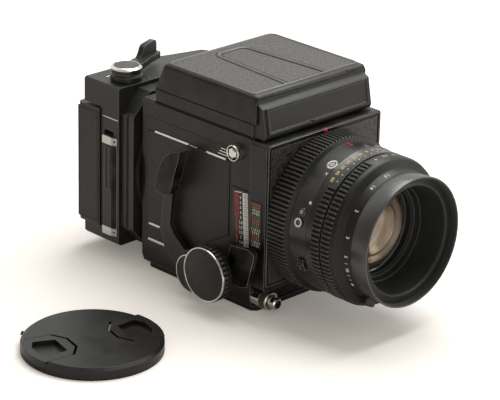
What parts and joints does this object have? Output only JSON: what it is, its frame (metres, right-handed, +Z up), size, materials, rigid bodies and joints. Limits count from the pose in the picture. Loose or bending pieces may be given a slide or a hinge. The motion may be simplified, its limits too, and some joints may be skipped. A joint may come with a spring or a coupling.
{
  "type": "medium format film camera",
  "caption": "Modular single-lens reflex with bellows focusing, leaf-shutter lens, folding waist-level hood, revolving film back and loose lens cap.",
  "frame": {"origin": "centre of the tripod socket's mouth in the underside of the base", "axes": "-Y along the lens axis out of the front, +Z up, +X to the right as seen from the front"},
  "size_m": [0.2592, 0.2337, 0.1371],
  "materials": {
    "casing_black": "satin black enamel",
    "back_plastic": "fine matt black",
    "leatherette": "pebbled black",
    "lens_black": "satin black anodised",
    "lever_black": "gloss black",
    "knob_black": "matt black, ribbed",
    "bright_chrome": "polished",
    "steel": "machined",
    "scale_plates": "black with printed lines",
    "screen_glass": "ground",
    "lens_glass": "coated",
    "mirror_silver": "front silvered",
    "inner_black": "matt black",
    "bellows_leather": "pleated",
    "spool_plastic": "moulded",
    "cap_plastic": "fine matt black"
  },
  "bodies": {
    "camera_body": {"body_shell": "casing_black", "base_plate": "casing_black", "tripod_socket": "steel", "side_leather": "leatherette", "chrome_trims": "bright_chrome", "strap_lugs": "bright_chrome", "distance_plate": "scale_plates", "accessory_shoe": "bright_chrome", "focusing_screen": "screen_glass", "release_boss": "bright_chrome", "hood_base": "casing_black", "rear_flange": "steel"},
    "focus_drive": {"focus_shaft": "steel", "focus_pinions": "steel", "left_focus_knob": "knob_black", "right_focus_knob": "knob_black", "knob_rings": "bright_chrome"},
    "front_standard": {"standard_frame": "casing_black", "standard_leather": "leatherette", "exposure_plate": "scale_plates", "focus_racks": "steel", "bellows": "bellows_leather", "shutter_housing": "lens_black", "front_barrel": "lens_black", "front_element": "lens_glass", "rear_element": "lens_glass", "shutter_unit": "inner_black"},
    "bayonet": {"bayonet_ring": "lens_black"},
    "speed_ring": {"shutter_speed_ring": "lens_black"},
    "iris_ring": {"aperture_ring": "lens_black"},
    "scale_ring": {"distance_ring": "lens_black"},
    "preview": {"preview_lever": "lever_black"},
    "focus_lock": {"focus_lock_lever": "lever_black"},
    "release": {"release_button": "bright_chrome"},
    "release_lock": {"release_collar": "bright_chrome"},
    "cocking": {"cocking_lever": "lever_black", "cocking_hub": "bright_chrome"},
    "mirror": {"mirror_frame": "inner_black", "mirror_glass": "mirror_silver"},
    "lid": {"hood_lid": "casing_black", "lid_leather": "leatherette", "magnifier_frame": "inner_black", "magnifier_lens": "lens_glass"},
    "flap_left": {"left_flap": "inner_black"},
    "flap_right": {"right_flap": "inner_black"},
    "flap_rear": {"rear_flap": "inner_black"},
    "film_back": {"adapter_plate": "back_plastic", "film_holder": "back_plastic"},
    "slide": {"dark_slide": "lever_black"},
    "winder": {"wind_lever": "lever_black"},
    "takeup": {"takeup_spool": "spool_plastic"},
    "supply": {"supply_spool": "spool_plastic"},
    "cover": {"rear_cover": "back_plastic", "pressure_plate": "inner_black", "cover_leather": "leatherette"},
    "latch": {"latch_bar": "back_plastic", "latch_caps": "bright_chrome"},
    "cap": {"cap_shell": "cap_plastic"},
    "cap_left": {"cap_grip_left": "cap_plastic"},
    "cap_right": {"cap_grip_right": "cap_plastic"}
  },
  "joints": [
    {"name": "focus_slide", "type": "slide", "parent": "camera_body", "child": "front_standard", "axis": [0, -1, 0], "range_m": [0, 0.046], "deforming": ["bellows"]},
    {"name": "focus_turn", "type": "hinge", "parent": "camera_body", "child": "focus_drive", "pos_m": [0, -0.0332, 0.0248], "axis": [1, 0, 0], "range_deg": [0, 330]},
    {"name": "focus_lock_turn", "type": "hinge", "parent": "camera_body", "child": "focus_lock", "pos_m": [-0.0546, -0.0332, 0.0248], "axis": [-1, 0, 0], "range_deg": [0, 25]},
    {"name": "cocking_swing", "type": "hinge", "parent": "camera_body", "child": "cocking", "pos_m": [-0.05, -0.0128, 0.0163], "axis": [1, 0, 0], "range_deg": [0, 60], "stiffness_Nm_per_rad": 0.05, "springref_deg": -34.38},
    {"name": "release_press", "type": "slide", "parent": "camera_body", "child": "release", "axis": [0, 1, 0], "range_m": [0, 0.003], "stiffness_N_per_m": 250},
    {"name": "release_lock_turn", "type": "hinge", "parent": "camera_body", "child": "release_lock", "pos_m": [-0.04, -0.0597, 0.0089], "axis": [0, -1, 0], "range_deg": [-45, 45]},
    {"name": "bayonet_turn", "type": "hinge", "parent": "front_standard", "child": "bayonet", "pos_m": [0, -0.072, 0.0591], "axis": [0, -1, 0], "range_deg": [0, 35]},
    {"name": "shutter_ring_turn", "type": "hinge", "parent": "front_standard", "child": "speed_ring", "pos_m": [0, -0.0995, 0.0591], "axis": [0, -1, 0], "range_deg": [-60, 60]},
    {"name": "aperture_turn", "type": "hinge", "parent": "front_standard", "child": "iris_ring", "pos_m": [0, -0.11, 0.0591], "axis": [0, -1, 0], "range_deg": [-30, 30]},
    {"name": "distance_turn", "type": "hinge", "parent": "front_standard", "child": "scale_ring", "pos_m": [0, -0.119, 0.0591], "axis": [0, -1, 0], "range_deg": [-75, 75]},
    {"name": "preview_swing", "type": "hinge", "parent": "front_standard", "child": "preview", "pos_m": [0, -0.087, 0.0591], "axis": [0, -1, 0], "range_deg": [0, 20], "stiffness_Nm_per_rad": 0.02},
    {"name": "mirror_flip", "type": "hinge", "parent": "camera_body", "child": "mirror", "pos_m": [0, 0.034, 0.1], "axis": [-1, 0, 0], "range_deg": [0, 45]},
    {"name": "lid_open", "type": "hinge", "parent": "camera_body", "child": "lid", "pos_m": [0, -0.0506, 0.1344], "axis": [1, 0, 0], "range_deg": [0, 90]},
    {"name": "left_flap_fold", "type": "hinge", "parent": "camera_body", "child": "flap_left", "pos_m": [-0.0405, -0.01, 0.121], "axis": [0, -1, 0], "range_deg": [0, 90]},
    {"name": "right_flap_fold", "type": "hinge", "parent": "camera_body", "child": "flap_right", "pos_m": [0.0405, -0.01, 0.121], "axis": [0, 1, 0], "range_deg": [0, 90]},
    {"name": "rear_flap_fold", "type": "hinge", "parent": "camera_body", "child": "flap_rear", "pos_m": [0, 0.0275, 0.121], "axis": [-1, 0, 0], "range_deg": [0, 90]},
    {"name": "back_revolve", "type": "hinge", "parent": "camera_body", "child": "film_back", "pos_m": [0, 0.047, 0.0591], "axis": [0, 1, 0], "range_deg": [0, 90]},
    {"name": "dark_slide_pull", "type": "slide", "parent": "film_back", "child": "slide", "axis": [1, 0, 0], "range_m": [0, 0.09]},
    {"name": "wind_swing", "type": "hinge", "parent": "film_back", "child": "winder", "pos_m": [-0.0363, 0.0709, 0.117], "axis": [0, 0, 1], "range_deg": [0, 160]},
    {"name": "takeup_spin", "type": "hinge", "parent": "film_back", "child": "takeup", "pos_m": [-0.0335, 0.08, 0.0591], "axis": [0, 0, 1], "range_deg": [-541, 0]},
    {"name": "supply_spin", "type": "hinge", "parent": "film_back", "child": "supply", "pos_m": [0.0335, 0.08, 0.0591], "axis": [0, 0, 1], "range_deg": [-385, 0]},
    {"name": "cover_open", "type": "hinge", "parent": "film_back", "child": "cover", "pos_m": [0.0542, 0.0767, 0.0565], "axis": [0, 0, -1], "range_deg": [0, 110]},
    {"name": "latch_slide", "type": "slide", "parent": "film_back", "child": "latch", "axis": [0, 0, 1], "range_m": [0, 0.003], "stiffness_N_per_m": 200},
    {"name": "cap_lift", "type": "slide", "parent": "camera_body", "child": "cap", "axis": [0, 0, 1], "range_m": [0, 0.05]},
    {"name": "cap_left_pinch", "type": "slide", "parent": "cap", "child": "cap_left", "axis": [0.9703, -0.2419, 0], "range_m": [0, 0.0014], "stiffness_N_per_m": 400},
    {"name": "cap_right_pinch", "type": "slide", "parent": "cap", "child": "cap_right", "axis": [-0.9703, 0.2419, 0], "range_m": [0, 0.0014], "stiffness_N_per_m": 400}
  ],
  "couplings": [
    {"joint": "focus_turn", "follows": "focus_slide", "rad_per_m": 125},
    {"joint": "left_flap_fold", "follows": "lid_open", "ratio": 1},
    {"joint": "right_flap_fold", "follows": "lid_open", "ratio": 1},
    {"joint": "rear_flap_fold", "follows": "lid_open", "ratio": 1},
    {"joint": "takeup_spin", "follows": "wind_swing", "ratio": -3.375},
    {"joint": "supply_spin", "follows": "wind_swing", "ratio": -2.4}
  ]
}
